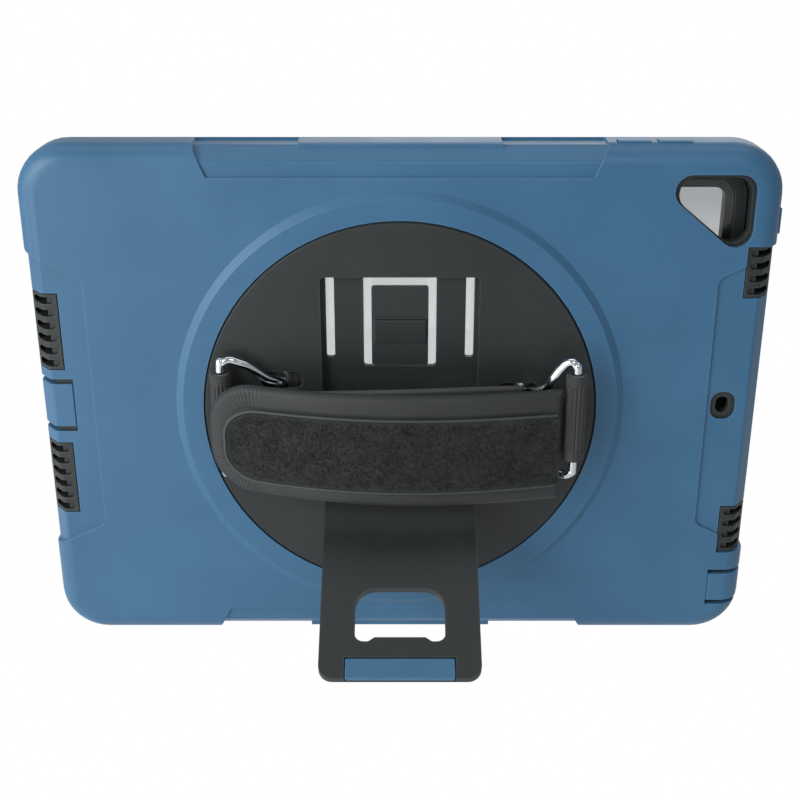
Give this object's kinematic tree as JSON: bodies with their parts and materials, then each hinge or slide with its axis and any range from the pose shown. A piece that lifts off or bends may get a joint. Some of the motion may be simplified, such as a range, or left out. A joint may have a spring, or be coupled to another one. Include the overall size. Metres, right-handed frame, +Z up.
{
  "type": "tablet case",
  "caption": "Rugged tablet case with a soft skin over a hard shell, a clear front, a turntable with a folding kickstand and a padded hand strap on wire rings.",
  "frame": {"origin": "on the long bottom edge of the case, halfway along its length, 10 mm in front of the flat back", "axes": "+X along the long bottom edge, to the right as the back is looked at; +Y through the case, from its back to its screen; +Z up"},
  "size_m": [0.2726, 0.091, 0.1974],
  "materials": {
    "skin": "soft satin silicone",
    "shell": "fine grain",
    "turntable": "fine grain",
    "film": "clear film",
    "steel": "zinc plated",
    "ring_wire": "bright nickel",
    "webbing": "ribbed elastic webbing",
    "strap": "smooth coated fabric",
    "fastener": "loop pile of a hook-and-loop fastener"
  },
  "bodies": {
    "case": {"outer_skin": "skin", "inner_back_shell": "shell", "left_upper_grille": "shell", "left_lower_grille": "shell", "right_upper_grille": "shell", "right_lower_grille": "shell"},
    "front": {"front_frame": "shell", "screen_protector": "film"},
    "turntable": {"turntable_disc": "turntable", "disc_retainer_ring": "steel", "retainer_screw_1": "steel", "retainer_screw_2": "steel", "retainer_screw_3": "steel", "retainer_screw_4": "steel", "retainer_screw_5": "steel", "retainer_screw_6": "steel", "kickstand_hinge_pin": "steel", "left_ring_keeper": "steel", "right_ring_keeper": "steel"},
    "latch": {"latch_tongue": "turntable"},
    "kickstand": {"kickstand_leg": "turntable", "kickstand_foot_pad": "skin"},
    "left_ring": {"left_strap_ring": "ring_wire", "left_webbing_loop": "webbing"},
    "right_ring": {"right_strap_ring": "ring_wire", "right_webbing_loop": "webbing"},
    "hand_strap": {"hand_strap_pad": "strap", "strap_fastener_patch": "fastener", "strap_lining": "strap"},
    "volume_up": {"volume_up_button": "skin"},
    "volume_down": {"volume_down_button": "skin"},
    "power": {"power_button": "skin"},
    "charge_cover": {"charge_port_cover": "skin"},
    "audio_cover": {"audio_port_cover": "skin"}
  },
  "joints": [
    {"name": "turntable_spin", "type": "hinge", "parent": "case", "child": "turntable", "pos_m": [0, -0.01, 0.0974], "axis": [0, 1, 0], "continuous": true},
    {"name": "kickstand_hinge", "type": "hinge", "parent": "turntable", "child": "kickstand", "pos_m": [0, -0.0101, 0.0674], "axis": [1, 0, 0], "range_deg": [-119.5, 0], "deforming": ["hand_strap_pad", "strap_fastener_patch", "strap_lining"]},
    {"name": "latch_flex", "type": "hinge", "parent": "turntable", "child": "latch", "pos_m": [0, -0.0079, 0.1154], "axis": [1, 0, 0], "range_deg": [-3.5, 0], "stiffness_Nm_per_rad": 0.05},
    {"name": "strap_lift", "type": "slide", "parent": "turntable", "child": "hand_strap", "axis": [0, -1, 0], "range_m": [0, 0.008], "stiffness_N_per_m": 150},
    {"name": "left_ring_hinge", "type": "hinge", "parent": "turntable", "child": "left_ring", "pos_m": [-0.0432, -0.0084, 0.0974], "axis": [0, 0, 1], "range_deg": [0, 21]},
    {"name": "right_ring_hinge", "type": "hinge", "parent": "turntable", "child": "right_ring", "pos_m": [0.0467, -0.0084, 0.0974], "axis": [0, 0, -1], "range_deg": [0, 28]},
    {"name": "front_lift_off", "type": "slide", "parent": "case", "child": "front", "axis": [0, 1, 0], "range_m": [0, 0.02]},
    {"name": "volume_up_press", "type": "slide", "parent": "case", "child": "volume_up", "axis": [0, 0, -1], "range_m": [0, 0.0006], "stiffness_N_per_m": 150},
    {"name": "volume_down_press", "type": "slide", "parent": "case", "child": "volume_down", "axis": [0, 0, -1], "range_m": [0, 0.0006], "stiffness_N_per_m": 150},
    {"name": "power_press", "type": "slide", "parent": "case", "child": "power", "axis": [-1, 0, 0], "range_m": [0, 0.0006], "stiffness_N_per_m": 150},
    {"name": "charge_cover_hinge", "type": "hinge", "parent": "case", "child": "charge_cover", "pos_m": [-0.12205, -0.00905, 0.09915], "axis": [0, 0, 1], "range_deg": [0, 90], "stiffness_Nm_per_rad": 0.004},
    {"name": "audio_cover_hinge", "type": "hinge", "parent": "case", "child": "audio_cover", "pos_m": [0.12205, -0.01, 0.02125], "axis": [0, 0, -1], "range_deg": [0, 90], "stiffness_Nm_per_rad": 0.004}
  ],
  "couplings": [
    {"joint": "left_ring_hinge", "follows": "strap_lift", "rad_per_m": 44.4},
    {"joint": "right_ring_hinge", "follows": "strap_lift", "rad_per_m": 59.5}
  ]
}
